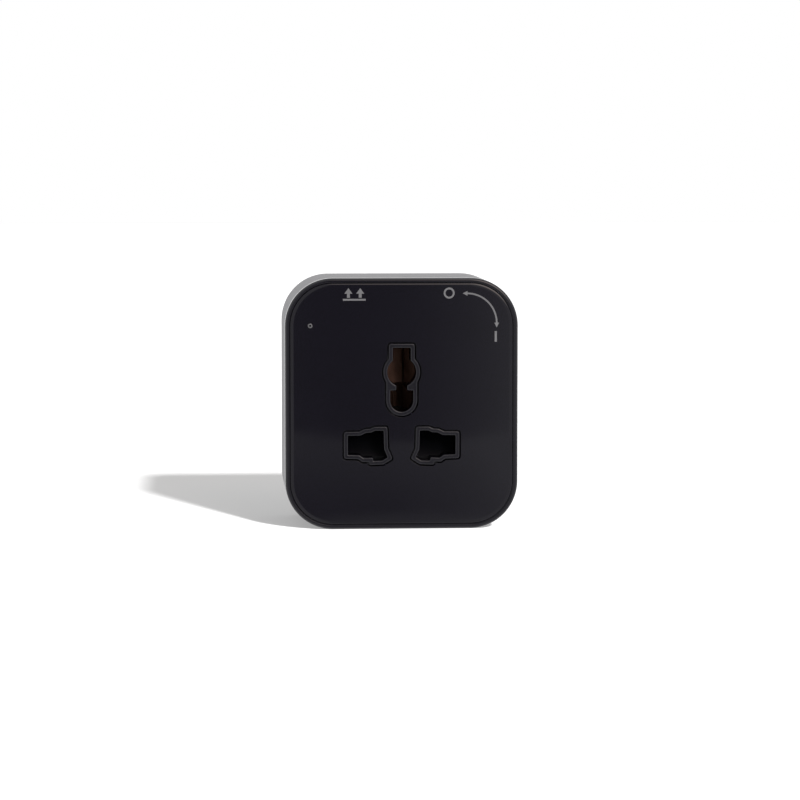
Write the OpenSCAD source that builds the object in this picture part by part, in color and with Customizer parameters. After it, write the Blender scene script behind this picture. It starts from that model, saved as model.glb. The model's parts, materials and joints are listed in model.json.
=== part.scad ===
// Twist-in universal socket adapter for a power track, with smart switching inside.
// The face looks towards -Y, the housing stands on its lower flat side at Z = 0.
// "at" is always a depth behind the front of the rim.

/* [Housing] */
// Width of the housing
body_w = 63.5; // [62:0.5:66]
// Height of the housing
body_h = 68.5; // [67:0.5:72]
// Depth of the housing from rim to back
body_d = 36; // [36:0.5:40]
// Radius of the housing's corners, seen from the front
corner_r = 13; // [12:0.5:15]
// Wall thickness of the shell
wall = 2; // [1.8:0.1:2.2]
// Width of the rim around the face panel
rim_w = 1.1; // [0.9:0.1:1.4]
// Width of the groove between rim and face panel
groove_w = 0.25; // [0.2:0.05:0.5]

/* [Socket] */
// Height of the line through the live and neutral holes
line_z = 23.1; // [22.5:0.1:23.5]
// Width of the upper earth slot
earth_slot_w = 4.8; // [4.4:0.1:5.2]
// Height of the upper earth slot's top edge
earth_top_z = 49.5; // [49:0.1:50]
// Radius of the round part of the earth hole
earth_round_r = 3.9; // [3.6:0.1:4.2]
// Height of the round part's centre
earth_round_z = 42.9; // [42.7:0.1:43.2]
// Radius of the lower earth slot's round end
earth_low_r = 3.1; // [2.8:0.1:3.3]
// Height of the lower earth slot's round end
earth_low_z = 35.2; // [35:0.1:35.6]
// Wall of the collars around the holes
collar_t = 1.15; // [1:0.05:1.3]
// Gap between a collar and the face panel
collar_gap = 0.25; // [0.15:0.05:0.35]
// Travel of the shutter
shutter_travel = 8.5; // [8:0.1:9]

/* [Track head] */
// Diameter of the turning collar
turn_d = 40; // [38:0.5:42]
// Width of the collar's key, which fits the slot of the track
key_w = 11; // [11:0.1:12]
// Length of the collar's key
key_l = 30; // [30:0.5:32]
// Height of the collar's key, the depth of the slot
key_h = 3.5; // [3:0.1:4]
// Diameter of the neck that the collar turns on
neck_d = 10; // [10:0.1:10.4]
// Radial clearance between neck and collar
neck_fit = 0.08; // [0.05:0.01:0.1]
// Depth of the contact foot behind the key
foot_t = 10.4; // [10:0.1:12]

/* [Hidden] */
$fn = 64;

// Colours
black = [0.13, 0.12, 0.14];
dark = [0.08, 0.08, 0.09];
grey = [0.62, 0.62, 0.65];
print_grey = [0.62, 0.62, 0.64];
brass = [0.72, 0.52, 0.25];
steel = [0.72, 0.73, 0.75];
board_green = [0.1, 0.32, 0.2];

// Depths of the layers
bead_at = 0.1;
panel_at = 0.2;
panel_t = 1.7;
mark_t = 0.2;
mark_proud = 0.03;
plate_at = panel_at + panel_t;
plate_t = 1.7;
shell_at = 2.8;
core_at = plate_at + plate_t + 0.2;
core_t = 2;
guide_at = core_at + core_t;
shutter_at = guide_at + 0.3;
shutter_t = 7;
spring_at = shutter_at + 3.6;
carrier_at = shutter_at + shutter_t + 0.3;
carrier_t = 10.2;
guide_t = carrier_at - guide_at;
board_at = carrier_at + carrier_t + 1.8;
board_t = 1.6;
cover_at = body_d - 2;
recess_at = body_d - 3.4;
washer_t = 0.4;
collar_at = recess_at + washer_t + 0.1;
cup_at = recess_at - 1.6;
flange_t = 2.4;
flange_at = cup_at - flange_t;
lead_at = (board_at + board_t + flange_at) / 2;
lead_d = 1.4;
key_end = body_d + key_h;
foot_at = key_end + 0.2;
foot_end = foot_at + foot_t;
cap_t = 1.6;
cap_at = foot_end - cap_t;
face_y = -foot_end / 2;

// Heights and places
mid_z = body_h / 2;
cut_gap = collar_t + collar_gap;
boss_d = 5.6;
boss_reach = (corner_r - wall - boss_d / 2 - 0.4) / sqrt(2);
boss_x = body_w / 2 - corner_r + boss_reach;
boss_z = corner_r - boss_reach;
boss_places = [for (x = [-boss_x, boss_x], z = [boss_z, body_h - boss_z]) [x, z]];
pillar_places = [for (x = [-13.5, 13.5], z = [32.5, 49]) [x, z]];
stake_places = [for (x = [-20.2, 20.2], z = [15, 50.5]) [x, z]];
board_screw_places = [[-15.5, 41], [15.5, 41]];
indicator = [-24.9, 55.6];
window_z = 34;
window = [34, 36];
window_fit = 0.15;
wide = key_w - 0.4;
foot_l = key_l - 1;
stem_w = 2.4;
stem_t = 0.8;
stem_z = 3;
arm_at = cap_at - stem_t;
shutter_low = line_z - 4.9;
shutter_high = line_z + 4.5;
guide_z = 4;
seat_z = 6;
cradle_z = shutter_low - shutter_travel - 0.5;
pocket_z = line_z - 3;

// Left pin hole, clockwise from its upper left corner, about the middle of the socket's line
pin_hole = [
    [-14.65, 2.45], [-11.3, 2.5], [-9.8, 3.2], [-8.3, 3.3], [-7.2, 3.8], [-5, 3.8], [-4.85, -1.3],
    [-3.9, -3.45], [-5.3, -4.3], [-7.75, -4.4], [-7.8, -3.45], [-10.4, -3.6], [-11.5, -2.8],
    [-14.65, -2.7]
];

// Vector v with length 1
function unit(v) = v / norm(v);

// Unit vector on the left of the step from a to b
function left_of(a, b) = unit([a[1] - b[1], b[0] - a[0]]);

// Offset of a corner between two edges with unit normals a and b
function mitre(a, b, t) = (a + b) * t / (1 + a * b);

// Clockwise polygon p grown by g, with mitred corners
function grown(p, g) = [
    for (i = [0:len(p) - 1])
        let (last = p[(i + len(p) - 1) % len(p)], next = p[(i + 1) % len(p)])
            p[i] + mitre(left_of(last, p[i]), left_of(p[i], next), g)
];

// One side of a strip whose middle line is p
function strip_side(p, t) = [
    for (i = [0:len(p) - 1])
        let (a = max(i, 1), b = min(i, len(p) - 2))
            p[i] + mitre(left_of(p[a - 1], p[a]), left_of(p[b], p[b + 1]), t)
];

// Closed outline of a bent strip of thickness t along p
function strip(p, t) = concat(
    strip_side(p, t / 2),
    [for (i = [len(p) - 1:-1:0]) strip_side(p, -t / 2)[i]]
);

// Points p mirrored left to right, still clockwise
function mirrored(p) = [for (i = [len(p) - 1:-1:0]) [-p[i][0], p[i][1]]];

// Outline drawn in x and z, extruded backwards from depth at
module slab(at, t)
    translate([0, face_y + at + t, 0]) rotate([90, 0, 0]) linear_extrude(t) children();

// Outline drawn in depth and z, extruded to the right from x
module side_slab(x, w)
    translate([x, face_y, 0]) rotate([90, 0, 90]) linear_extrude(w) children();

// Outline drawn in x and depth, extruded upwards from z
module flat_slab(z, h)
    translate([0, face_y, z]) linear_extrude(h) children();

// Round rod along the depth, at place p = [x, z]
module rod(p, at, t, d)
    translate([p[0], face_y + at, p[1]]) rotate([-90, 0, 0]) cylinder(h = t, d = d);

// Box of size [width, depth, height] centred on place p = [x, z]
module block(p, at, size)
    translate([p[0] - size[0] / 2, face_y + at, p[1] - size[2] / 2]) cube(size);

module rounded(w, h, r) {
    square([w - 2 * r, h], center = true);
    square([w, h - 2 * r], center = true);
    for (x = [-1, 1], z = [-1, 1])
        translate([x * (w / 2 - r), z * (h / 2 - r)]) circle(r);
}

module body_outline(inset)
    translate([0, mid_z]) rounded(body_w - 2 * inset, body_h - 2 * inset, corner_r - inset);

module stadium(w, l) {
    square([w, l - w], center = true);
    for (s = [-1, 1]) translate([0, s * (l - w) / 2]) circle(d = w);
}

// Earth hole grown by g: upper slot, round part, gap between the lips, lower slot
module earth_hole(g) {
    translate([-earth_slot_w / 2 - g, earth_round_z])
        square([earth_slot_w + 2 * g, earth_top_z - earth_round_z + g]);
    translate([0, earth_round_z]) circle(earth_round_r + g);
    translate([-1.45, earth_low_z]) square([2.9, earth_round_z - earth_low_z]);
    translate([0, earth_low_z]) circle(earth_low_r + g);
    low_top = g > 0 ? earth_round_z : 37.9;
    translate([-earth_low_r - g, earth_low_z])
        square([2 * (earth_low_r + g), low_top - earth_low_z]);
}

// All three holes grown by g
module pin_holes(g) {
    earth_hole(g);
    translate([0, line_z]) polygon(grown(pin_hole, g));
    translate([0, line_z]) polygon(grown(mirrored(pin_hole), g));
}

// Neck section with two flats, which keeps the head from turning in the rear cover
module neck_flats(d)
    intersection() {
        circle(d = d);
        square([d + 1, d - 1.2], center = true);
    }

// Pan-head screw driven forwards from depth at: head behind it, shank in front
module screw(p, at, head_d, head_t, shank_d, shank_l) difference() {
    union() {
        rod(p, at, head_t, head_d);
        rod(p, at - shank_l, shank_l + head_t / 2, shank_d);
    }
    block(p, at + head_t * 0.5, [head_d * 0.62, head_t, head_d * 0.16]);
    block(p, at + head_t * 0.5, [head_d * 0.16, head_t, head_d * 0.62]);
}

// Tube of radius r along the points p; up is never along the path
module swept(p, r, sides, up) {
    last = len(p) - 1;
    points = [
        for (i = [0:last], k = [0:sides - 1])
            let (
                t = unit(p[min(i + 1, last)] - p[max(i - 1, 0)]),
                u = unit(cross(t, up)),
                v = cross(u, t),
                a = k * 360 / sides
            ) p[i] + r * (u * cos(a) + v * sin(a))
    ];
    faces = concat(
        [[for (k = [0:sides - 1]) k]],
        [[for (k = [sides - 1:-1:0]) last * sides + k]],
        [
            for (i = [0:last - 1], k = [0:sides - 1])
                let (a = i * sides, n = (k + 1) % sides) [a + k, a + sides + k, a + sides + n, a + n]
        ]
    );
    polyhedron(points, faces);
}

// Insulated lead through the points p, given as [x, depth, z]
module lead(p, d) translate([0, face_y, 0]) swept(p, d / 2, 8, [0, 1, 0]);

// Printed symbols: this way up, off, on, and the quarter-turn arc
module mark_shapes() {
    arc_x = 17.8;
    arc_z = 56.2;
    arc_r = 8.1;
    stroke = 0.45;
    for (x = [-14.5, -11.3]) {
        translate([x - 0.4, 63.2]) square([0.8, 1.4]);
        translate([x, 64.3]) polygon([[-1.1, 0], [0, 1.5], [1.1, 0]]);
    }
    translate([-16, 62.4]) square([6.2, 0.5]);
    translate([12.9, 64.4]) difference() {
        circle(1.5);
        circle(1);
    }
    translate([25.65, 51.1]) translate([-0.3, 0]) square([0.6, 2.9]);
    translate([arc_x, arc_z]) {
        intersection() {
            difference() {
                circle(arc_r + stroke / 2);
                circle(arc_r - stroke / 2);
            }
            square(arc_r + 1);
        }
        translate([0.1, arc_r]) polygon([[0, 0.65], [0, -0.65], [-1.3, 0]]);
        translate([arc_r, 0.1]) polygon([[-0.65, 0], [0.65, 0], [0, -1.3]]);
    }
}

module face_panel() color(black) difference() {
    slab(panel_at, panel_t) body_outline(rim_w + groove_w);
    slab(panel_at - 1, panel_t + 2) pin_holes(cut_gap);
    slab(panel_at - 1, 1 + mark_t) mark_shapes();
    rod(indicator, panel_at - 1, panel_t + 2, 1.5);
}

module face_marks() color(print_grey) slab(panel_at - mark_proud, mark_t + mark_proud) mark_shapes();

module front_frame() color(black) difference() {
    union() {
        slab(0, shell_at) body_outline(0);
        slab(shell_at, plate_at + plate_t - shell_at) body_outline(wall + 0.1);
        // Spigot inside the shell
        difference() {
            slab(shell_at, 4) body_outline(wall + 0.1);
            slab(shell_at, 5) body_outline(wall + 1.5);
        }
        // Columns for the cover screws
        for (p = boss_places) rod(p, plate_at + 1, cover_at - plate_at - 1, boss_d);
        // Heat stakes that hold the socket core
        for (p = stake_places) {
            rod(p, plate_at + 1, guide_at - plate_at - 1, 2.4);
            rod(p, guide_at, 0.8, 3);
        }
    }
    slab(-1, plate_at + 1) body_outline(rim_w);
    block([0, window_z], plate_at - 1, [window[0], plate_t + 2, window[1]]);
    rod(indicator, plate_at - 1, plate_t + 2, 1.9);
    for (p = boss_places) rod(p, cover_at - 16, 17, 2.6);
}

module main_shell() color(grey) {
    difference() {
        slab(shell_at, cover_at - shell_at) body_outline(0);
        slab(shell_at - 1, cover_at - shell_at + 2) body_outline(wall);
    }
    // Ledges in front of the board
    for (s = [-1, 1], z = [16, 52.5])
        block([s * (body_w / 2 - wall - 0.5), z], board_at - 6, [1.4, 6, 3]);
}

module rear_cover() color(grey) difference() {
    union() {
        slab(cover_at, body_d - cover_at) body_outline(0);
        // Lip inside the shell
        difference() {
            slab(cover_at - 2.4, 2.4) body_outline(wall + 0.1);
            slab(cover_at - 3, 3) body_outline(wall + 1.3);
            for (p = boss_places) rod(p, cover_at - 3, 3, boss_d + 0.6);
        }
        // Cup that the collar turns in
        rod([0, mid_z], cup_at, body_d - cup_at, turn_d + 4);
    }
    rod([0, mid_z], recess_at, 5, turn_d + 0.6);
    slab(cup_at - 1, 5) translate([0, mid_z]) neck_flats(neck_d + 0.1);
    for (p = boss_places) {
        rod(p, cover_at - 1, 4, 3);
        rod(p, cover_at + 0.6, 4, 5.2);
    }
}

module cover_screws() color(steel)
    for (p = boss_places) screw(p, cover_at + 0.6, 4.8, 1.3, 2.6, 14);

module light_pipe() color([0.75, 0.76, 0.78]) {
    rod(indicator, panel_at, board_at - panel_at - 3, 1.4);
    rod(indicator, core_at, 1, 3);
}

module socket_core() color(black) difference() {
    union() {
        // Collars that stand through the face
        slab(bead_at, core_at - bead_at) pin_holes(collar_t);
        // Pad in the frame's window, behind the face panel
        block([0, window_z], plate_at,
            [window[0] - 2 * window_fit, guide_at - plate_at, window[1] - 2 * window_fit]);
        // Base plate
        slab(core_at, core_t) translate([0, 33]) rounded(44, 43, 3);
        // Pillars for the carrier
        for (p = pillar_places) rod(p, core_at + 1, carrier_at - core_at - 1, 4.6);
    }
    slab(0, guide_at + 1) pin_holes(0);
    for (p = stake_places) rod(p, core_at - 1, core_t + 2, 2.5);
    for (p = pillar_places) rod(p, carrier_at - 6, 7, 2);
}

// Frame around the shutter, held between the socket core and the carrier
module shutter_guide() color(dark) difference() {
    union() {
        for (s = [-1, 1]) block([s * 17.6, guide_z + 13], guide_at, [2, guide_t, 26]);
        // Lower bar and upper stop
        for (z = [guide_z + 0.8, shutter_high + 1.1]) block([0, z], guide_at, [35.2, guide_t, 1.6]);
        // Seat of the shutter spring
        block([0, (guide_z + cradle_z) / 2], guide_at, [8, guide_t, cradle_z - guide_z]);
    }
    block([0, seat_z + 5], guide_at - 1, [5.6, guide_t + 2, 10]);
}

// Two ramps joined by a bridge; both pins together push the ramps down
module shutter_slider() color(dark) difference() {
    union() {
        for (s = [-1, 1]) side_slab(s * 9.65 - 6.15, 12.3) polygon([
            [shutter_at, shutter_low], [shutter_at, shutter_low + 1.2],
            [shutter_at + shutter_t - 1.4, shutter_high], [shutter_at + shutter_t, shutter_high],
            [shutter_at + shutter_t, shutter_low]
        ]);
        block([0, line_z], shutter_at + 0.6, [8, shutter_t - 0.6, 8.4]);
    }
    // Pocket that the spring pushes in
    translate([0, face_y + spring_at, shutter_low - 1])
        cylinder(h = pocket_z - shutter_low + 1, d = 5.2);
}

// Compression spring, a swept helix
module shutter_spring() color(steel) {
    coil_r = 2.1;
    wire_r = 0.25;
    turns = 7;
    steps = 14;
    rise = (pocket_z - seat_z - 2 * wire_r - 0.04) / (turns * steps);
    path = [
        for (i = [0:turns * steps])
            let (a = i * 360 / steps) [coil_r * cos(a), coil_r * sin(a), i * rise]
    ];
    translate([0, face_y + spring_at, seat_z + wire_r + 0.02]) swept(path, wire_r, 6, [0, 0, 1]);
}

module contact_carrier() color([0.2, 0.17, 0.15]) difference() {
    union() {
        slab(carrier_at, carrier_t) translate([0, 33]) rounded(35, 40, 2);
        // Tower around the earth contact
        block([0, 41], guide_at + 0.6, [12.6, carrier_at, 21]);
        // Posts for the board
        for (p = board_screw_places) rod(p, carrier_at + carrier_t - 1, 2.8, 4.4);
    }
    for (s = [-1, 1]) block([s * 9.7, line_z], carrier_at - 1, [12, carrier_t - 0.6, 10.4]);
    block([0, 41], core_at, [10.2, carrier_at + carrier_t - core_at - 1.6, 19]);
    // Slots for the contacts' tabs
    for (s = [-1, 1]) block([s * 9.7, line_z], carrier_at, [3.3, carrier_t + 2, 1.1]);
    block([0, 33.5], carrier_at, [3.3, carrier_t + 2, 1.1]);
    for (p = pillar_places) {
        rod(p, carrier_at - 1, carrier_t + 2, 2.3);
        rod(p, carrier_at + 3, carrier_t, 4.6);
    }
    for (p = board_screw_places) rod(p, carrier_at + 4, carrier_t, 2);
}

module carrier_screws() color(steel)
    for (p = pillar_places) screw(p, carrier_at + 3, 4, 1.4, 2, 8.5);

// Pair of brass leaves above and below the pin's path, with a tab to the board
module pin_contact(x) color(brass) {
    at = carrier_at;
    side_slab(x - 4.8, 9.6) for (s = [0, 1]) translate([0, line_z]) mirror([0, s]) polygon(strip([
        [at + 0.4, 4.5], [at + 1.6, 3.4], [at + 4.6, 0.6], [at + 6.2, 1.2], [at + 7.2, 3.2],
        [at + 8.2, 3.4], [at + 8.2, 0]
    ], 0.6));
    block([x, line_z], at + 8.2, [3, board_at + board_t + 0.8 - at - 8.2, 0.8]);
}

module live_contact() pin_contact(9.7);

module neutral_contact() pin_contact(-9.7);

// Middle line of a leaf from its flared lip past the knee at x = inner to the spine
function leaf(at, back, inner, fall) = [
    [4.5, at], [3.8, at + 1.3], [inner, at + 6.5], [inner + fall, at + 8.5], [3.4, back - 1.4],
    [3.4, back], [0, back]
];

// Brass leaves on both sides of the earth pin's path, with a tab for the lead
module earth_contact() color(brass) {
    at = guide_at + 1.8;
    back = carrier_at + 8.2;
    // Upper leaves for the flat pin: the left one springs, the right one is nearly firm
    flat_slab(39.3, 10.4) {
        mirror([1, 0]) polygon(strip(leaf(at, back, -0.6, 0.5), 0.6));
        polygon(strip(leaf(at, back, 1.8, 0.2), 0.6));
    }
    // Lower leaves for the round pin
    flat_slab(31.9, 6.2) for (s = [0, 1])
        mirror([s, 0]) polygon(strip(leaf(at + 2.6, back, 1.6, 0.6), 0.6));
    block([0, 40.5], back - 0.3, [6, 0.6, 16]);
    block([0, 33.5], back, [3, 4.4, 0.8]);
}

module control_board() color(board_green) difference() {
    slab(board_at, board_t) body_outline(wall + 0.7);
    rod([0, mid_z], board_at - 1, board_t + 2, 25);
    for (p = boss_places) rod(p, board_at - 1, board_t + 2, boss_d + 0.6);
    for (p = board_screw_places) rod(p, board_at - 1, board_t + 2, 2.3);
    for (s = [-1, 1]) block([s * 9.7, line_z], board_at - 1, [3.1, board_t + 2, 0.9]);
}

module board_screws() color(steel)
    for (p = board_screw_places) screw(p, board_at + board_t, 4, 1.2, 2, 6);

module relay() color([0.12, 0.2, 0.35]) block([-23.9, 34], board_at - 15, [10, 15, 28]);

module transformer() {
    color([0.85, 0.75, 0.3]) block([7, 60.2], board_at - 11.5, [9, 10.5, 8.6]);
    color(dark) block([7, 60.2], board_at - 1, [12, 1, 10]);
    color([0.25, 0.25, 0.27]) block([7, 60.2], board_at - 12.5, [11, 1, 5]);
}

module bulk_capacitor() color([0.1, 0.12, 0.2]) rod([23.9, 46], board_at - 12, 12, 8);

module suppression_capacitor() color([0.8, 0.66, 0.2])
    block([24.2, 33.5], board_at - 11, [6, 11, 13]);

module varistor() color([0.15, 0.3, 0.6]) {
    translate([20.8, face_y + board_at - 6, 20]) rotate([0, 90, 0]) cylinder(h = 3.6, d = 9);
    for (s = [-1, 1]) rod([22.6, 20 + s * 2.5], board_at - 3, 3, 0.7);
}

module fuse() color([0.7, 0.7, 0.68]) {
    translate([-16, face_y + board_at - 3, 60.5]) rotate([0, 90, 0]) cylinder(h = 10, d = 3.6);
    for (x = [-16, -6]) block([x, 60.5], board_at - 3.6, [0.8, 3.6, 4.4]);
}

module bridge_rectifier() color(dark) block([14, 8.5], board_at - 2.6, [6, 2.6, 8]);

module choke() {
    color([0.35, 0.35, 0.37]) {
        rod([17, 60.6], board_at - 1, 1, 6);
        rod([17, 60.6], board_at - 7.5, 1, 6);
    }
    color([0.7, 0.35, 0.15]) rod([17, 60.6], board_at - 6.5, 5.5, 5.2);
}

module surface_mount_parts() color([0.16, 0.16, 0.17]) {
    for (x = [-6:3:6]) block([x, 10], board_at + board_t, [1.8, 0.6, 1]);
    for (x = [-16, -12, 12, 16]) block([x, 56], board_at + board_t, [2.4, 0.8, 1.4]);
    block([-20, 12], board_at + board_t, [5, 1.4, 4]);
    block([20, 57], board_at + board_t, [4, 1.2, 3]);
}

module indicator_led() color([0.95, 0.95, 0.9]) {
    block(indicator, board_at - 1, [3, 1, 3]);
    rod(indicator, board_at - 2.8, 1.9, 2.2);
}

// Radio board, standing on edge on the control board
module wireless_module() color([0.1, 0.12, 0.16])
    block([-4, 4.2], board_at - 11, [15, 11, 0.8]);

module wireless_shield() color(steel) block([-4, 5.8], board_at - 10, [11, 8.6, 2.4]);

module live_lead() color([0.4, 0.22, 0.12]) lead([
    [0, lead_at, mid_z + 4.2], [4, lead_at, 40], [9, lead_at, 38.8], [19, lead_at, 36],
    [22.5, lead_at, 36]
], lead_d);

module neutral_lead() color([0.2, 0.35, 0.65]) lead([
    [0, lead_at, mid_z - 4.2], [-4, lead_at, 28.6], [-9, lead_at, 28.8], [-19, lead_at, 31],
    [-22.5, lead_at, 31]
], lead_d);

// Short link between the head's earth stem and the earth contact's tab
module earth_lead() color([0.35, 0.55, 0.2]) lead([
    [2.1, board_at - 0.8, 32.9], [2.1, board_at - 0.2, 33.5], [2, board_at + 0.6, mid_z],
    [2, board_at + 1.4, mid_z + 0.9]
], 1.2);

// Insulating T: neck through collar and cover, foot behind the key
module track_head() color(dark) difference() {
    union() {
        translate([0, 0, mid_z]) {
            slab(cup_at, recess_at - cup_at) neck_flats(neck_d);
            slab(recess_at, foot_at - recess_at) circle(d = neck_d);
            slab(foot_at, cap_at - foot_at) stadium(wide, foot_l);
        }
    }
    translate([0, 0, mid_z]) {
        // Ways for the three stems
        for (z = [-stem_z, 0, stem_z]) block([0, z], cup_at - 1, [stem_w + 0.1, foot_end, stem_t + 0.1]);
        // Trough for the contact arms
        block([0, 0], arm_at - 0.05, [stem_w + 0.1, 5, foot_l - 1.8]);
        for (s = [-1, 1]) {
            block([0, s * foot_l / 2], arm_at - 4, [6.2, 10, 3.2]);
            rod([s * 3.3, 0], cup_at - 1, 7, 1.8);
            rod([s * 3.3, s * 7], arm_at - 4, 8, 1.8);
        }
        block([0, 0], arm_at - 0.05, [wide + 1, 5, 4.1]);
    }
}

module head_flange() color([0.2, 0.17, 0.15]) difference() {
    translate([0, 0, mid_z]) slab(flange_at, flange_t) circle(d = 22);
    translate([0, 0, mid_z]) {
        for (z = [-stem_z, 0, stem_z])
            block([0, z], flange_at - 1, [stem_w + 0.1, flange_t + 2, stem_t + 0.1]);
        for (s = [-1, 1]) rod([s * 3.3, 0], flange_at - 1, flange_t + 2, 2);
    }
}

// Screws driven backwards into the neck
module flange_screws() color(steel)
    for (s = [-1, 1]) {
        rod([s * 3.3, mid_z], flange_at - 0.9, 0.9, 2.8);
        rod([s * 3.3, mid_z], flange_at - 0.5, flange_t + 5.5, 1.8);
    }

module head_cap() color(black) difference() {
    translate([0, 0, mid_z]) slab(cap_at, cap_t) stadium(wide, foot_l);
    translate([0, 0, mid_z])
        for (s = [-1, 1]) {
            rod([s * 3.3, s * 7], cap_at - 1, 4, 2);
            rod([s * 3.3, s * 7], cap_at + 0.7, 4, 3.6);
        }
}

module cap_screws() color(steel)
    for (s = [-1, 1]) screw([s * 3.3, mid_z + s * 7], cap_at + 0.7, 3.4, 0.8, 1.8, 4.2);

// Stem through the neck, arm along the foot, spring finger at its end
module head_contact(s) color(brass) translate([0, 0, mid_z]) mirror([0, 0, s]) {
    block([0, stem_z], flange_at - 2, [stem_w, arm_at - flange_at + 2.6, stem_t]);
    arm_end = foot_l / 2 - 0.8;
    block([0, (stem_z + arm_end) / 2], arm_at, [stem_w, stem_t, arm_end - stem_z + stem_t]);
    block([0, foot_l / 2 - 0.6], arm_at - 3.4, [5.4, 3.4 + stem_t, 0.8]);
    translate([0, face_y + arm_at - 1.4, foot_l / 2 - 0.4]) cylinder(h = 0.8, d = 3);
}

module head_live_contact() head_contact(0);

module head_neutral_contact() head_contact(1);

// Stem in the middle of the neck, bridge across the foot, pads on both flanks
module head_earth_contact() color(brass) translate([0, 0, mid_z]) {
    block([0, 0], flange_at - 2, [stem_w, arm_at - flange_at + 2.6, stem_t]);
    block([0, 0], arm_at, [wide, stem_t, 3.6]);
}

// Spring washer between the cover and the turning collar
module wave_washer() color(steel) difference() {
    rod([0, mid_z], recess_at, washer_t, 26);
    rod([0, mid_z], recess_at - 1, washer_t + 2, 20);
}

// Turning disc with the key that stays in the track's slot
module slot_collar() color(dark) difference() {
    translate([0, 0, mid_z]) {
        slab(collar_at, body_d - collar_at) circle(d = turn_d);
        slab(body_d - 0.5, key_h + 0.5) stadium(key_w, key_l);
    }
    rod([0, mid_z], collar_at - 1, key_end, neck_d + 2 * neck_fit);
}

face_panel();
face_marks();
front_frame();
main_shell();
rear_cover();
cover_screws();
light_pipe();
socket_core();
shutter_guide();
shutter_slider();
shutter_spring();
contact_carrier();
carrier_screws();
live_contact();
neutral_contact();
earth_contact();
control_board();
board_screws();
relay();
transformer();
bulk_capacitor();
suppression_capacitor();
varistor();
fuse();
bridge_rectifier();
choke();
surface_mount_parts();
indicator_led();
wireless_module();
wireless_shield();
live_lead();
neutral_lead();
earth_lead();
track_head();
head_flange();
flange_screws();
head_cap();
cap_screws();
head_live_contact();
head_neutral_contact();
head_earth_contact();
wave_washer();
slot_collar();
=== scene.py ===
"""Looks of the twist-in universal socket adapter: rounded outer pieces, finishes and studio."""

import json
import math

import bmesh
import bpy
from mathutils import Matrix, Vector


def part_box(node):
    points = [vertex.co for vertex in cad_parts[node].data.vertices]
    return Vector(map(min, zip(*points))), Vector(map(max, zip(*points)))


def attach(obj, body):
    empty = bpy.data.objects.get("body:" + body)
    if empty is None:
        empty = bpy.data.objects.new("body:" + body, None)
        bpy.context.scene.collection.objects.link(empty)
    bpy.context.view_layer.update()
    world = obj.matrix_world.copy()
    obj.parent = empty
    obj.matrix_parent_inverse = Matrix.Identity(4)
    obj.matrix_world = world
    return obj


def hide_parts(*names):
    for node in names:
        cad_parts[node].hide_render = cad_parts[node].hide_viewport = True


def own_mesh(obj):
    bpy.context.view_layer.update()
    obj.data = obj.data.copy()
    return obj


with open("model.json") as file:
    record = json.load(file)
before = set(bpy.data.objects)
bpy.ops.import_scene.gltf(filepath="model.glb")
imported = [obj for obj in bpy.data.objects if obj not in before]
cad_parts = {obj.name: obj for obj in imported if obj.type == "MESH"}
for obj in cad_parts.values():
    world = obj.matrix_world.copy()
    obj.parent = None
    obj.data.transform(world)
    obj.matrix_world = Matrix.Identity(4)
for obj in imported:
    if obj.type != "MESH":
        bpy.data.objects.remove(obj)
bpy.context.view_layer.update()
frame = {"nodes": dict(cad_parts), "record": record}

MM = 0.001

# Sizes in millimetres that the boxes of the CAD nodes don't give; depths are behind the rim's front

# Housing: corner radius, wall, rim, and the groove between rim and panel
CORNER_R = 13.0
WALL = 2.0
RIM_W = 1.1
GROOVE_W = 0.25
GROOVE_FLOOR = 0.5

# Gaps at the seams before and behind the grey shell
FRONT_SEAM = 0.08
BACK_SEAM = 0.06

# Spigots that reach into the shell: outside and insides, measured from the housing's outline
SPIGOT_OUT = WALL + 0.1
FRONT_SPIGOT_IN = WALL + 1.5
COVER_SPIGOT_IN = WALL + 1.3

# Window in the rim's ledge plate, where the socket moulding comes through
WINDOW_Z = 34
WINDOW = (34, 36)
WINDOW_GAP = 0.3
WINDOW_R = 0.5

# Socket moulding: base plate, collars and their gap to the panel
CORE_Z = 33
CORE_H = 43
CORE_T = 2
CORE_BACK = 5.8
COLLAR_T = 1.15
COLLAR_GAP = 0.38

# Earth hole: flat slot, round middle, low slot, and the lip between the last two
SLOT_W = 4.8
SLOT_TOP = 49.5
ROUND_R = 3.9
ROUND_Z = 42.9
LOW_R = 3.1
LOW_Z = 35.2
LIP_X = 1.45
LIP_Z = 37.9

# Cover screws: heads, the sinks they sit in, their ways and the columns they bite into
SCREW_HEAD = 4.8
SINK_R = 2.6
SCREW_WAY_R = 1.5
COLUMN_R = 2.8

# Back: cup round the turning disc, the disc's bore and its oblong key
RECESS_GAP = 0.3
CUP_WALL = 1.7
CUP_FLOOR = 1.6
CUP_BORE_R = 5.05
BORE_R = 5.08
KEY = (11, 30)

# Light pipe: hole in the panel, ring, dish in its middle, and rod behind
PIPE_HOLE_R = 0.68
PIPE_RING_R = 0.63
PIPE_DISH_R = 0.28
PIPE_ROD_R = 0.7
DISH_DEPTH = 1.8

# Shutter spring
WIRE_R = 0.25
SPRING_TURNS = 7

# Radii of edges that hardly show
SOFT = 0.1
FINE = 0.05
HAIR = 0.02

# Height of the live and neutral line, and the left pin hole about its middle
LINE_Z = 23.1
PIN_HOLE = [
    (-14.65, 2.45), (-11.3, 2.5), (-9.8, 3.2), (-8.3, 3.3), (-7.2, 3.8), (-5.0, 3.8),
    (-4.85, -1.3), (-3.9, -3.45), (-5.3, -4.3), (-7.75, -4.4), (-7.8, -3.45), (-10.4, -3.6),
    (-11.5, -2.8), (-14.65, -2.7),
]


def span(node):
    """Lowest and highest corner of a CAD node in millimetres."""
    low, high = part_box(node)
    return [v / MM for v in low], [v / MM for v in high]


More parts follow.
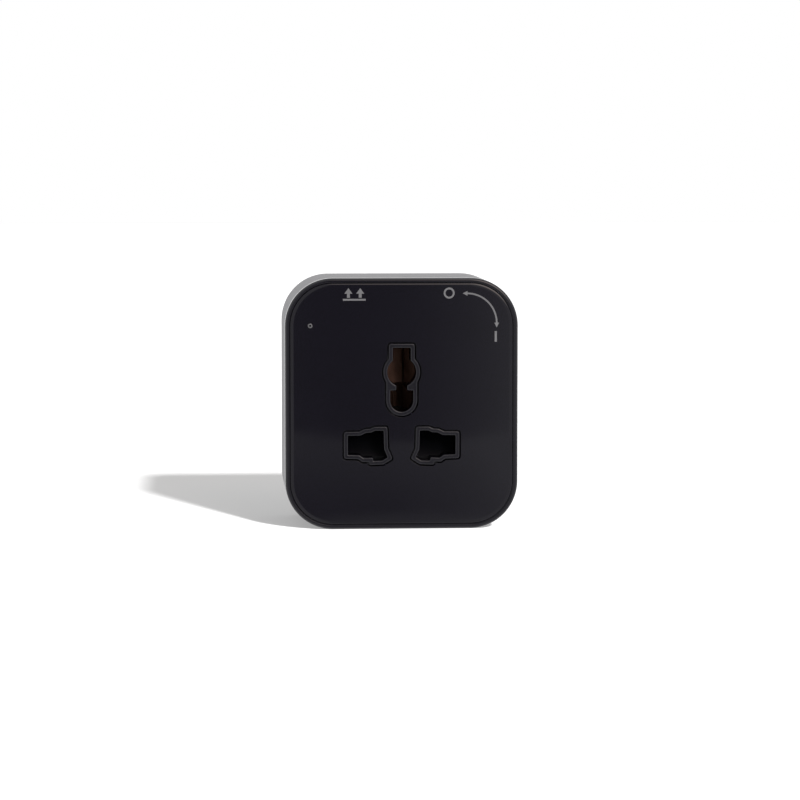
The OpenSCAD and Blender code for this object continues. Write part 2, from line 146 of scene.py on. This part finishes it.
def depth(node, side):
    """Depth of a CAD node's front (side 0) or back (side 1) behind the rim's front."""
    return span(node)[side][1] - FACE_Y


rim_low, rim_high = span("front_frame")
FACE_Y = rim_low[1]
BODY_W = rim_high[0] - rim_low[0]
BODY_H = rim_high[2] - rim_low[2]
MID_Z = BODY_H / 2
SHELL_AT = depth("main_shell", 0)
COVER_AT = depth("main_shell", 1)
BODY_D = depth("rear_cover", 1)


# ---------------------------------------------------------------- outlines in x and z

def arc(cx, cz, r, start, end, steps):
    """Points on an arc, angles in degrees, both ends included."""
    turn = [math.radians(start + (end - start) * i / steps) for i in range(steps + 1)]
    return [(cx + r * math.cos(a), cz + r * math.sin(a)) for a in turn]


def circle(cx, cz, r, steps=64):
    return arc(cx, cz, r, 180, -180, steps)[:-1]


def rounded(cx, cz, w, h, r, steps=24):
    """Clockwise rounded rectangle."""
    points = []
    for sx, sz, start in ((-1, 1, 180), (1, 1, 90), (1, -1, 0), (-1, -1, -90)):
        points += arc(cx + sx * (w / 2 - r), cz + sz * (h / 2 - r), r, start, start - 90, steps)
    return points


def body_outline(inset):
    return rounded(0, MID_Z, BODY_W - 2 * inset, BODY_H - 2 * inset, CORNER_R - inset)


def stadium(cx, cz, w, h, steps=24):
    """Clockwise upright outline with round ends."""
    r = w / 2
    top = arc(cx, cz + h / 2 - r, r, 180, 0, steps)
    return top + arc(cx, cz - h / 2 + r, r, 0, -180, steps)


def earth_hole(g=0.0):
    """Clockwise outline of the earth hole, or of its collar's outside when g is the wall."""
    slot_x = SLOT_W / 2 + g
    r = ROUND_R + g
    low_x = LOW_R + g
    lip_x = LIP_X if g == 0 else low_x
    upper = math.degrees(math.acos(slot_x / r))
    lower = math.degrees(math.acos(lip_x / r))
    right = [(slot_x, SLOT_TOP + g)] + arc(0, ROUND_Z, r, upper, -lower, 28)
    if g == 0:
        right += [(LIP_X, LIP_Z), (LOW_R, LIP_Z)]
    bottom = arc(0, LOW_Z, low_x, 0, -180, 32)
    left = [(-x, z) for x, z in reversed(right)]
    return right + bottom + left


def mirrored(points):
    return [(-x, z) for x, z in reversed(points)]


def left_of(a, b):
    """Unit normal on the left of the step from a to b."""
    length = math.hypot(b[0] - a[0], b[1] - a[1])
    return (a[1] - b[1]) / length, (b[0] - a[0]) / length


def grown(points, g):
    """Clockwise outline grown by g with mitred corners."""
    result = []
    for i, p in enumerate(points):
        a = left_of(points[i - 1], p)
        b = left_of(p, points[(i + 1) % len(points)])
        k = g / max(1 + a[0] * b[0] + a[1] * b[1], 0.2)
        result.append((p[0] + (a[0] + b[0]) * k, p[1] + (a[1] + b[1]) * k))
    return result


def filleted(points, outer_r, inner_r, steps=5):
    """Clockwise outline whose corners are rounded: outer_r where it is convex, inner_r where not."""
    result = []
    for i, p in enumerate(points):
        before, after = points[i - 1], points[(i + 1) % len(points)]
        u = Vector((before[0] - p[0], before[1] - p[1]))
        v = Vector((after[0] - p[0], after[1] - p[1]))
        turn = math.pi - u.angle(v)
        if turn < math.radians(14):
            result.append(p)
            continue
        convex = u.x * v.y - u.y * v.x > 0
        reach = (outer_r if convex else inner_r) * math.tan(turn / 2)
        reach = min(reach, 0.45 * u.length, 0.45 * v.length)
        start = Vector(p) + u.normalized() * reach
        end = Vector(p) + v.normalized() * reach
        for k in range(steps + 1):
            t = k / steps
            q = start * (1 - t) ** 2 + Vector(p) * 2 * t * (1 - t) + end * t ** 2
            result.append((q.x, q.y))
    return result


# ---------------------------------------------------------------- meshes

def at(x, d, z):
    """Point in metres from x, depth behind the rim and z in millimetres."""
    return Vector((x * MM, (FACE_Y + d) * MM, z * MM))


def ring(bm, points, d):
    return [bm.verts.new(at(x, d, z)) for x, z in points]


def band(bm, a, b):
    for i in range(len(a)):
        bm.faces.new((a[i - 1], a[i], b[i], b[i - 1]))


def cap(bm, *rings):
    """Flat face inside the first ring and outside the others."""
    edges = []
    for r in rings:
        for i in range(len(r)):
            edges.append(bm.edges.get((r[i - 1], r[i])) or bm.edges.new((r[i - 1], r[i])))
    bmesh.ops.triangle_fill(bm, use_beauty=True, use_dissolve=False, edges=edges)


def round_edge(r, turn, flat=1.0, steps=8):
    """(grow, depth) steps of a rounded edge, with a holding step past each end.
    turn is (1, 1) at an outer front edge, (-1, 1) at a hole's; (.., -1) is a back edge.
    The edge is flat times as deep as it is wide."""
    side, front = turn
    hold = 0.12 * r
    points = [(-r - hold, 0)]
    for k in range(steps + 1):
        a = math.pi / 2 * k / steps
        points.append((r * (math.sin(a) - 1), flat * r * (1 - math.cos(a))))
    points.append((0, flat * r + hold))
    points = [(side * g, front * d) for g, d in points]
    return points if front > 0 else points[::-1]


def wall_rings(bm, outline, front, back, r_front, r_back, side, flat=1.0):
    """Rings of one wall with rounded edges, front to back, joined by bands."""
    profile = [(g, front + d) for g, d in round_edge(r_front, (side, 1), flat)]
    profile += [(g, back + d) for g, d in round_edge(r_back, (side, -1))]
    rings = [ring(bm, grown(outline, g), d) for g, d in profile]
    for a, b in zip(rings, rings[1:]):
        band(bm, a, b)
    return rings[0], rings[-1]


def plate(bm, outline, holes, front, back, edge=0.3, hole_edge=0.15, back_edge=None, flat=1.0):
    """Closed plate from depth front to back with holes and rounded edges."""
    back_edge = edge if back_edge is None else back_edge
    fronts, backs = [], []
    for i, points in enumerate([outline] + list(holes)):
        side = 1 if i == 0 else -1
        r = edge if i == 0 else hole_edge
        rb = back_edge if i == 0 else hole_edge
        a, b = wall_rings(bm, points, front, back, r, rb, side, flat if i == 0 else 1.0)
        fronts.append(a)
        backs.append(b)
    cap(bm, *fronts)
    cap(bm, *backs)


def add_object(name, data):
    obj = bpy.data.objects.new(name, data)
    bpy.context.scene.collection.objects.link(obj)
    return obj


def add_mesh(name, bm, material):
    mesh = bpy.data.meshes.new(name)
    bm.to_mesh(mesh)
    bm.free()
    mesh.materials.append(material)
    return add_object(name, mesh)


def piece(name, bm, slot, cad_node, body="housing"):
    """Piece in place of a CAD node: smooth with sharp creases, riding on its body."""
    bmesh.ops.recalc_face_normals(bm, faces=bm.faces)
    for face in bm.faces:
        face.smooth = True
    for edge in bm.edges:
        edge.smooth = edge.is_manifold and edge.calc_face_angle(0) < math.radians(32)
    obj = add_mesh(name, bm, MATERIALS[slot])
    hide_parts(cad_node)
    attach(obj, body)
    return obj


# ---------------------------------------------------------------- materials

def link(tree, a, b):
    tree.links.new(a, b)


def node(tree, kind, **settings):
    n = tree.nodes.new(kind)
    for key, value in settings.items():
        setattr(n, key, value)
    return n


def noise(tree, scale, detail=3.0, stretch=(1, 1, 1)):
    """Noise on the object's own coordinates, scale in waves per metre."""
    coords = node(tree, "ShaderNodeTexCoord")
    mapping = node(tree, "ShaderNodeMapping")
    mapping.inputs["Scale"].default_value = stretch
    texture = node(tree, "ShaderNodeTexNoise")
    texture.inputs["Scale"].default_value = scale
    texture.inputs["Detail"].default_value = detail
    link(tree, coords.outputs["Object"], mapping.inputs["Vector"])
    link(tree, mapping.outputs["Vector"], texture.inputs["Vector"])
    return texture.outputs["Fac"]


def remap(tree, value, low, high, from_low=0.3, from_high=0.7):
    """Value from low to high as it goes from from_low to from_high, where noise mostly lies."""
    n = node(tree, "ShaderNodeMapRange")
    n.inputs["From Min"].default_value = from_low
    n.inputs["From Max"].default_value = from_high
    n.inputs["To Min"].default_value = low
    n.inputs["To Max"].default_value = high
    link(tree, value, n.inputs["Value"])
    return n.outputs["Result"]


def tint(tree, value, dark, light):
    """Colour between dark and light, chosen by value from 0.3 to 0.7."""
    n = node(tree, "ShaderNodeMix", data_type="RGBA")
    n.inputs["A"].default_value = (*dark, 1)
    n.inputs["B"].default_value = (*light, 1)
    link(tree, remap(tree, value, 0, 1), n.inputs["Factor"])
    return n.outputs["Result"]


def bump(tree, shader, value, distance_mm, strength=1.0):
    n = node(tree, "ShaderNodeBump")
    n.inputs["Distance"].default_value = distance_mm * MM
    n.inputs["Strength"].default_value = strength
    link(tree, value, n.inputs["Height"])
    link(tree, n.outputs["Normal"], shader.inputs["Normal"])


def new_material(name, specular=0.5, metallic=0.0):
    material = bpy.data.materials.new(name)
    material.use_nodes = True
    tree = material.node_tree
    shader = tree.nodes["Principled BSDF"]
    shader.inputs["Metallic"].default_value = metallic
    shader.inputs["Specular IOR Level"].default_value = specular
    return material, tree, shader


def shade(colour, k):
    """Colour k times as light."""
    return tuple(min(1, c * k) for c in colour)


def moulded(name, colour, rough, grain_mm=0.25, relief_mm=0.01, specular=0.5, vary=0.12):
    """Moulded plastic: fine spark texture, slow colour change, uneven gloss."""
    material, tree, shader = new_material(name, specular)
    broad = noise(tree, 90, 2)
    fine = noise(tree, 1000 / grain_mm, 4)
    link(tree, tint(tree, broad, shade(colour, 1 - vary), shade(colour, 1 + vary)),
         shader.inputs["Base Color"])
    link(tree, remap(tree, fine, rough - 0.06, rough + 0.06), shader.inputs["Roughness"])
    bump(tree, shader, fine, relief_mm)
    return material


def polished(name, colour, rough, specular):
    """Polished plastic: faint handling haze, slight waviness of a moulded sheet."""
    material, tree, shader = new_material(name, specular)
    haze = noise(tree, 60, 4, (1, 1, 1.8))
    link(tree, tint(tree, haze, shade(colour, 0.94), shade(colour, 1.06)),
         shader.inputs["Base Color"])
    link(tree, remap(tree, haze, rough, rough + 0.015), shader.inputs["Roughness"])
    bump(tree, shader, noise(tree, 70, 1), 0.002, 0.3)
    return material


def metal(name, colour, rough, lines=(1, 1, 1), relief_mm=0.004, bare=1.0):
    """Rolled or drawn metal: fine lines, slow tarnish; bare is lower under a dull oxide."""
    material, tree, shader = new_material(name, 0.5 * bare, bare)
    tarnish = noise(tree, 250, 4)
    drawn = noise(tree, 4000, 3, lines)
    link(tree, tint(tree, tarnish, shade(colour, 0.8), shade(colour, 1.1)),
         shader.inputs["Base Color"])
    link(tree, remap(tree, drawn, rough - 0.08, rough + 0.1), shader.inputs["Roughness"])
    bump(tree, shader, drawn, relief_mm)
    return material


def striped(name, dark, light, rough, direction, radian_mm):
    """Wound or routed surface: parallel bands in two tones with a slight relief.
    The bands are a sine whose phase turns by one radian in radian_mm."""
    material, tree, shader = new_material(name, 0.4)
    coords = node(tree, "ShaderNodeTexCoord")
    wave = node(tree, "ShaderNodeTexWave", bands_direction=direction)
    # The wave node's own phase is 20 times the scaled position
    wave.inputs["Scale"].default_value = 1000 / radian_mm / 20
    wave.inputs["Distortion"].default_value = 1.5
    link(tree, coords.outputs["Object"], wave.inputs["Vector"])
    link(tree, tint(tree, wave.outputs["Fac"], dark, light), shader.inputs["Base Color"])
    link(tree, remap(tree, noise(tree, 2000), rough - 0.05, rough + 0.05),
         shader.inputs["Roughness"])
    bump(tree, shader, wave.outputs["Fac"], 0.02)
    return material


def clear_plastic(name):
    """Light pipe: slightly milky clear rod."""
    material, tree, shader = new_material(name, 0.5)
    cloud = noise(tree, 1500, 3)
    link(tree, tint(tree, cloud, (0.12, 0.12, 0.13), (0.18, 0.18, 0.19)),
         shader.inputs["Base Color"])
    link(tree, remap(tree, cloud, 0.2, 0.35), shader.inputs["Roughness"])
    shader.inputs["Transmission Weight"].default_value = 0.35
    return material


MATERIALS = {
    "gloss_black": polished("gloss_black", (0.0039, 0.0034, 0.0065), 0.025, 0.5),
    "semi_gloss_black": moulded("semi_gloss_black", (0.0048, 0.0043, 0.0073), 0.14, 0.37, 0.002),
    "satin_black": moulded("satin_black", (0.0035, 0.0035, 0.005), 0.35, specular=0.25),
    "satin_grey": moulded("satin_grey", (0.176, 0.176, 0.187), 0.5, 0.3, 0.012, 0.35, 0.04),
    "print_grey": moulded("print_grey", (0.145, 0.145, 0.152), 0.6, 0.1, 0.003, 0.1),
    "clear": clear_plastic("clear"),
    "brass": metal("brass", (0.42, 0.25, 0.17), 0.4, (1, 8, 1), bare=0.7),
    # Dull, darker copy of brass for the earth contact: its darkness is painted shade deep in the
    # earth hole
    "dull_shaded_brass": metal("dull_shaded_brass", (0.075, 0.041, 0.03), 0.5, (1, 8, 1), bare=0.0),
    "screw_steel": metal("screw_steel", (0.56, 0.57, 0.58), 0.32),
    "spring_steel": metal("spring_steel", (0.5, 0.5, 0.51), 0.25, (1, 1, 6)),
    "thermoset": moulded("thermoset", (0.03, 0.022, 0.018), 0.45),
    "board_green": striped("board_green", (0.01, 0.06, 0.03), (0.015, 0.1, 0.05), 0.3, "X", 1.6),
    "board_dark": striped("board_dark", (0.01, 0.014, 0.02), (0.02, 0.03, 0.04), 0.3, "Y", 1.2),
    "relay_blue": moulded("relay_blue", (0.03, 0.06, 0.17), 0.35),
    "tape_yellow": striped("tape_yellow", (0.55, 0.4, 0.06), (0.7, 0.52, 0.1), 0.35, "Y", 1.5),
    "can_sleeve": moulded("can_sleeve", (0.01, 0.015, 0.03), 0.25),
    "film_yellow": moulded("film_yellow", (0.5, 0.32, 0.03), 0.3),
    "varistor_blue": moulded("varistor_blue", (0.02, 0.08, 0.25), 0.25, 0.6, 0.03),
    "fuse_white": moulded("fuse_white", (0.6, 0.59, 0.55), 0.3),
    "chip_black": moulded("chip_black", (0.012, 0.012, 0.012), 0.6),
    "coil_copper": striped("coil_copper", (0.3, 0.08, 0.02), (0.5, 0.18, 0.05), 0.3, "Y", 0.3),
    "led_white": moulded("led_white", (0.7, 0.7, 0.65), 0.15),
    "shield_tin": metal("shield_tin", (0.6, 0.61, 0.62), 0.3, (6, 1, 1)),
    "lead_brown": moulded("lead_brown", (0.07, 0.025, 0.01), 0.4),
    "lead_blue": moulded("lead_blue", (0.02, 0.06, 0.25), 0.4),
    "lead_green": moulded("lead_green", (0.04, 0.2, 0.03), 0.4),
}

# The contact that shows through the earth hole gets a dull, darker copy of brass instead of a bright
# one; its darkness is painted shade deep in the hole
DULL_SHADED = {"earth_contact": "dull_shaded_brass"}


def finish_cad_nodes():
    """Each CAD node gets the material of its slot in the record, but the earth contact gets the
    dull, darker brass that paints the shade in the earth hole.
    """
    for entry in frame["record"]["subparts"]:
        mesh = frame["nodes"][entry["node"]].data
        mesh.materials.clear()
        mesh.materials.append(MATERIALS[DULL_SHADED.get(entry["node"], entry["material_slot"])])


# ---------------------------------------------------------------- pieces

def pin_outlines():
    """The three pin holes with slightly rounded corners."""
    left = [(x, z + LINE_Z) for x, z in PIN_HOLE]
    return [filleted(p, 0.25, 0.45) for p in (earth_hole(), left, mirrored(left))]


def collar_outlines():
    """Outsides of the three collars."""
    left = grown([(x, z + LINE_Z) for x, z in PIN_HOLE], COLLAR_T)
    return [filleted(p, 0.75, 0.5) for p in (earth_hole(COLLAR_T), left, mirrored(left))]


def indicator_place():
    low, high = span("light_pipe")
    return (low[0] + high[0]) / 2, (low[2] + high[2]) / 2


def screw_places():
    """Middles of the four cover screws."""
    low, high = span("cover_screws")
    half_x, half_z = (high[0] - low[0] - SCREW_HEAD) / 2, (high[2] - low[2] - SCREW_HEAD) / 2
    return [(x, MID_Z + z) for x in (-half_x, half_x) for z in (-half_z, half_z)]


def build_panel():
    """Glossy face sheet with a rolled edge and cut-outs round the collars."""
    bm = bmesh.new()
    cuts = [grown(p, COLLAR_GAP) for p in collar_outlines()]
    cuts.append(circle(*indicator_place(), PIPE_HOLE_R, 32))
    plate(bm, body_outline(RIM_W + GROOVE_W), cuts, depth("face_panel", 0), depth("face_panel", 1),
          edge=0.95, hole_edge=0.06, back_edge=SOFT, flat=0.35)
    piece("panel_sheet", bm, "gloss_black", "face_panel")


def build_frame():
    """Black rim, floor of its groove, two-step ledge plate, spigot and screw columns."""
    bm = bmesh.new()
    ledge = depth("face_panel", 1)
    window = rounded(0, WINDOW_Z, *WINDOW, WINDOW_R, 4)
    plate(bm, body_outline(0), [body_outline(RIM_W)], 0, SHELL_AT - FRONT_SEAM, edge=0.8,
          hole_edge=0.12, back_edge=0.12)
    plate(bm, body_outline(RIM_W - 0.1), [body_outline(RIM_W + GROOVE_W - 0.02)], GROOVE_FLOOR,
          ledge + 0.2, HAIR, HAIR)
    plate(bm, body_outline(RIM_W - 0.1), [window], ledge, ledge + 0.8, FINE, FINE)
    plate(bm, body_outline(SPIGOT_OUT), [window], ledge, ledge + 1.7, SOFT, SOFT)
    plate(bm, body_outline(SPIGOT_OUT), [body_outline(FRONT_SPIGOT_IN)], SHELL_AT - 0.5,
          SHELL_AT + 4, SOFT, SOFT)
    for place in screw_places():
        plate(bm, circle(*place, COLUMN_R, 40), [], ledge + 1, COVER_AT, 0.2)
    piece("rim_frame", bm, "gloss_black", "front_frame")


def build_shell():
    """Grey side wall with rounded meeting edges."""
    bm = bmesh.new()
    plate(bm, body_outline(0), [body_outline(WALL)], SHELL_AT, COVER_AT - BACK_SEAM, edge=0.2,
          hole_edge=SOFT)
    piece("grey_shell", bm, "satin_grey", "main_shell")


def build_collars():
    """Socket moulding: collars round the three holes, their roots, and the plates behind."""
    bm = bmesh.new()
    front, pad, back = depth("socket_core", 0), depth("face_panel", 1), CORE_BACK
    for outer, inner in zip(collar_outlines(), pin_outlines()):
        plate(bm, outer, [inner], front, back - 0.5, edge=0.32, hole_edge=0.34)
        # Steep root of the collar at the bottom of the gap
        plate(bm, grown(outer, COLLAR_GAP - 0.02), [grown(inner, 0.3)], pad - 0.8, pad + 0.3,
              edge=0.3, hole_edge=HAIR, back_edge=FINE, flat=2.5)
    pad_size = [side - WINDOW_GAP for side in WINDOW]
    plate(bm, rounded(0, WINDOW_Z, *pad_size, WINDOW_R, 4), pin_outlines(), pad, back - 0.2,
          SOFT, FINE)
    low, high = span("socket_core")
    plate(bm, rounded(0, CORE_Z, high[0] - low[0], CORE_H, 3, 8), pin_outlines(), back - CORE_T,
          back, 0.2, SOFT)
    piece("socket_collars", bm, "semi_gloss_black", "socket_core")


def build_rear_cover():
    """Back of the housing with the cup of the turning disc and four sunk screw holes."""
    bm = bmesh.new()
    low, high = span("slot_collar")
    recess = circle(0, MID_Z, (high[0] - low[0]) / 2 + RECESS_GAP, 128)
    sinks = [circle(*place, SINK_R, 48) for place in screw_places()]
    ways = [circle(*place, SCREW_WAY_R, 32) for place in screw_places()]
    plate(bm, body_outline(0), [recess] + sinks, COVER_AT + BACK_SEAM, BODY_D, edge=0.2,
          hole_edge=0.15, back_edge=0.8)
    plate(bm, body_outline(0.6), [recess] + ways, COVER_AT + 0.05, COVER_AT + 0.6, SOFT, FINE)
    cup, floor_at = grown(recess, CUP_WALL), depth("wave_washer", 0)
    plate(bm, cup, [circle(0, MID_Z, CUP_BORE_R, 64)], floor_at - CUP_FLOOR, floor_at, SOFT, FINE)
    plate(bm, cup, [recess], floor_at - 0.5, COVER_AT + 0.5, SOFT, FINE)
    plate(bm, body_outline(SPIGOT_OUT), [body_outline(COVER_SPIGOT_IN)],
          depth("rear_cover", 0) + 0.6, COVER_AT + 0.3, SOFT, SOFT)
    piece("back_cover", bm, "satin_grey", "rear_cover")


def build_slot_collar():
    """Turning disc with the oblong key."""
    bm = bmesh.new()
    low, high = span("slot_collar")
    disc = circle(0, MID_Z, (high[0] - low[0]) / 2, 128)
    bore = circle(0, MID_Z, BORE_R, 64)
    plate(bm, disc, [bore], depth("slot_collar", 0), BODY_D, 0.25, 0.15, 0.5)
    # The key's wall beside the bore is only 0.42 mm thick, so its edges are small
    plate(bm, stadium(0, MID_Z, *KEY), [bore], BODY_D - 0.6, depth("slot_collar", 1), SOFT, FINE,
          0.2)
    piece("turning_collar", bm, "satin_black", "slot_collar", "turn_collar")


def build_spring():
    """Return spring of the shutter, built at its rest length; the real one shortens as the shutter
    comes down on it.
    """
    low, high = span("shutter_spring")
    height = high[2] - low[2]
    middle_y = (low[1] + high[1]) / 2
    coil_r = (high[0] - low[0]) / 2 - WIRE_R
    steps, sides = 20 * SPRING_TURNS, 8
    bm = bmesh.new()
    rings = []
    for i in range(steps + 1):
        turn = 2 * math.pi * SPRING_TURNS * i / steps
        middle_z = low[2] + WIRE_R + (height - 2 * WIRE_R) * i / steps
        section = []
        for k in range(sides):
            a = 2 * math.pi * k / sides
            r = coil_r + WIRE_R * math.cos(a)
            z = middle_z + WIRE_R * math.sin(a)
            point = Vector((r * math.cos(turn), middle_y + r * math.sin(turn), z))
            section.append(bm.verts.new(point * MM))
        rings.append(section)
    for a, b in zip(rings, rings[1:]):
        band(bm, a, b)
    bm.faces.new(rings[0])
    bm.faces.new(rings[-1])
    coil = piece("return_spring", bm, "spring_steel", "shutter_spring")
    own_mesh(coil)


def build_light_pipe():
    """Clear rod whose front end is dished, so it shows as a ring."""
    bm = bmesh.new()
    place = indicator_place()
    front, back = depth("light_pipe", 0), depth("light_pipe", 1)
    plate(bm, circle(*place, PIPE_RING_R, 40), [circle(*place, PIPE_DISH_R, 40)], front, back - 1,
          0.12, SOFT)
    plate(bm, circle(*place, PIPE_ROD_R, 40), [], front + DISH_DEPTH, back, FINE)
    piece("indicator_lens", bm, "clear", "light_pipe")


# ---------------------------------------------------------------- studio

# Camera: metres from the face, degrees to the side and up, scale, and aim in millimetres
SHOT_DISTANCE = 0.8
SHOT_AZIMUTH = -3.8
SHOT_ELEVATION = 4.6
PIXELS_PER_MM = 3.675
PICTURE_W = 800
AIM_X = -0.5
AIM_Z = 35.33

# Spot that looks into the earth hole, metres from its target
SPOT_DISTANCE = 0.4

# The studio is painted on the sky by direction: x to the right, y away from the front, z up.
# White behind and beside the object; its front starts between these two values of y
FRONT_FROM = (-0.9, -0.6)

# The front's darkest and brightest level
FRONT_LOW = 0.11
FRONT_HIGH = 0.5

# Its light grows to both sides of a dark middle, faster further out
DARK_X = 0.047
DARK_WIDTH = 0.05
SIDE_GROWTH = 0.15
SIDE_GROWTH_OUT = 0.075

# Table and foot: two lighter zones low in the front, each with a bent edge
LOW_ZONE_X = 0.066
LOW_ZONE_LIGHT = 0.2
TABLE_BEND = -2.6
TABLE_EDGE = (-0.0948, -0.094)
TABLE_FADE = (-0.0944, -0.122)
FOOT_BEND = 2.3
FOOT_EDGE = (-0.1198, -0.1178)

# Warm patch that the rim's upper right corner mirrors: direction, colour, and its soft edge as
# the cosine of the angle to that direction
KEY_FROM = (0.38, -0.74, 0.55)
KEY_GLOW = (2.8, 2.35, 2.15)
KEY_EDGE = (0.9, 0.985)


def add_camera():
    """Long lens at the height of the face, slightly to the left and above."""
    data = bpy.data.cameras.new("camera")
    camera = add_object("camera", data)
    az, el = math.radians(SHOT_AZIMUTH), math.radians(SHOT_ELEVATION)
    away = Vector((math.sin(az) * math.cos(el), -math.cos(az) * math.cos(el), math.sin(el)))
    camera.location = at(AIM_X, 0, AIM_Z) + away * SHOT_DISTANCE
    camera.rotation_euler = (-away).to_track_quat("-Z", "Y").to_euler()
    data.sensor_width = 36
    data.lens = PIXELS_PER_MM * SHOT_DISTANCE / MM * data.sensor_width / PICTURE_W
    data.clip_start = 0.01
    bpy.context.scene.camera = camera


def add_floor():
    """Plain white floor, slightly luminous like a light table."""
    material, tree, shader = new_material("floor", 0.0)
    link(tree, tint(tree, noise(tree, 3), (0.245, 0.245, 0.245), (0.255, 0.255, 0.255)),
         shader.inputs["Base Color"])
    shader.inputs["Roughness"].default_value = 1.0
    shader.inputs["Emission Color"].default_value = (1, 1, 1, 1)
    shader.inputs["Emission Strength"].default_value = 0.3
    bm = bmesh.new()
    bmesh.ops.create_grid(bm, x_segments=8, y_segments=8, size=4)
    floor = add_mesh("floor", bm, material)
    floor.visible_glossy = False
    return floor


def place_light(data, direction, lit=None):
    """Light that shines along direction and isn't mirrored; lit limits it to one object."""
    light = add_object(data.name, data)
    light.rotation_euler = Vector(direction).to_track_quat("-Z", "Y").to_euler()
    light.visible_glossy = False
    if lit:
        receivers = bpy.data.collections.new(data.name + "_receivers")
        receivers.objects.link(lit)
        light.light_linking.receiver_collection = receivers
    return light


def add_sun(name, strength, angle, direction, lit=None):
    data = bpy.data.lights.new(name, "SUN")
    data.energy = strength
    data.angle = math.radians(angle)
    place_light(data, direction, lit)


def add_spot(name, watts, target, direction, radius, lit):
    """Narrow spot that lights a circle of radius round target."""
    data = bpy.data.lights.new(name, "SPOT")
    data.energy = watts
    data.shadow_soft_size = 0.02
    data.spot_size = 2 * math.atan(radius * MM / SPOT_DISTANCE)
    data.spot_blend = 0.15
    light = place_light(data, direction, lit)
    light.location = target - Vector(direction).normalized() * SPOT_DISTANCE


def add_lights(floor):
    """A low sun draws the floor's shadow, a softer key lights the object, and a spot looks
    into the earth hole."""
    add_sun("floor_sun", strength=18, angle=4, direction=(-48, 113, -68.5), lit=floor)
    add_sun("key", strength=0.8, angle=12, direction=(-42, 110, -34))
    add_spot("contact_spot", watts=6.5, target=at(0, 0, ROUND_Z + 1), direction=(-17, 110, -11),
             radius=6.0, lit=frame["nodes"]["earth_contact"])


def maths(tree, operation, a, b, clamp=False):
    """Math node of a and b, which are sockets or numbers."""
    n = node(tree, "ShaderNodeMath", operation=operation, use_clamp=clamp)
    for value, socket in zip((a, b), n.inputs):
        if isinstance(value, (int, float)):
            socket.default_value = value
        else:
            link(tree, value, socket)
    return n.outputs[0]


def bent(tree, x, z, bend):
    """Height z bent into a parabola across x."""
    middle = maths(tree, "SUBTRACT", x, LOW_ZONE_X)
    square = maths(tree, "MULTIPLY", middle, middle)
    return maths(tree, "ADD", z, maths(tree, "MULTIPLY", square, bend))


def front_of_studio(tree, x, z):
    """What the face mirrors: dark ahead, lighter to the sides, two lighter zones below."""
    across = maths(tree, "DIVIDE", maths(tree, "SUBTRACT", x, DARK_X), DARK_WIDTH)
    square = maths(tree, "MULTIPLY", across, across)
    growth = maths(tree, "ADD", maths(tree, "MULTIPLY", square, SIDE_GROWTH_OUT), SIDE_GROWTH)
    sides = maths(tree, "MULTIPLY", square, growth, clamp=True)
    table_z = bent(tree, x, z, TABLE_BEND)
    table = maths(tree, "MULTIPLY", remap(tree, table_z, LOW_ZONE_LIGHT, 0.0, *TABLE_FADE),
                  remap(tree, table_z, 1.0, 0.0, *TABLE_EDGE))
    foot = remap(tree, bent(tree, x, z, FOOT_BEND), LOW_ZONE_LIGHT, 0.0, *FOOT_EDGE)
    light = maths(tree, "ADD", sides, maths(tree, "ADD", table, foot))
    return maths(tree, "MINIMUM", maths(tree, "ADD", light, FRONT_LOW), FRONT_HIGH)


def add_world():
    """White studio with a dark front and a warm key patch; the camera itself sees plain white."""
    world = bpy.data.worlds.new("studio")
    world.use_nodes = True
    bpy.context.scene.world = world
    tree = world.node_tree
    background = tree.nodes["Background"]
    coords = node(tree, "ShaderNodeTexCoord")
    split = node(tree, "ShaderNodeSeparateXYZ")
    link(tree, coords.outputs["Generated"], split.inputs["Vector"])
    x, y, z = split.outputs
    around = remap(tree, y, 0.0, 1.0, *FRONT_FROM)
    studio = maths(tree, "MAXIMUM", around, front_of_studio(tree, x, z))
    toward_key = node(tree, "ShaderNodeVectorMath", operation="DOT_PRODUCT")
    toward_key.inputs[1].default_value = Vector(KEY_FROM).normalized()
    link(tree, coords.outputs["Generated"], toward_key.inputs[0])
    glow = node(tree, "ShaderNodeMix", data_type="RGBA", blend_type="ADD")
    link(tree, remap(tree, toward_key.outputs["Value"], 0, 1, *KEY_EDGE), glow.inputs["Factor"])
    link(tree, studio, glow.inputs["A"])
    glow.inputs["B"].default_value = (*KEY_GLOW, 1)
    paths = node(tree, "ShaderNodeLightPath")
    seen = node(tree, "ShaderNodeMix", data_type="RGBA")
    link(tree, paths.outputs["Is Camera Ray"], seen.inputs["Factor"])
    link(tree, glow.outputs["Result"], seen.inputs["A"])
    seen.inputs["B"].default_value = (1, 1, 1, 1)
    link(tree, seen.outputs["Result"], background.inputs["Color"])
    background.inputs["Strength"].default_value = 1.0


def set_view():
    """Colours as rendered, without a film look."""
    view = bpy.context.scene.view_settings
    view.view_transform = "Standard"
    view.look = "None"


def main():
    finish_cad_nodes()
    build_panel()
    build_frame()
    build_shell()
    build_collars()
    build_rear_cover()
    build_slot_collar()
    build_light_pipe()
    build_spring()
    add_camera()
    add_lights(add_floor())
    add_world()
    set_view()


main()
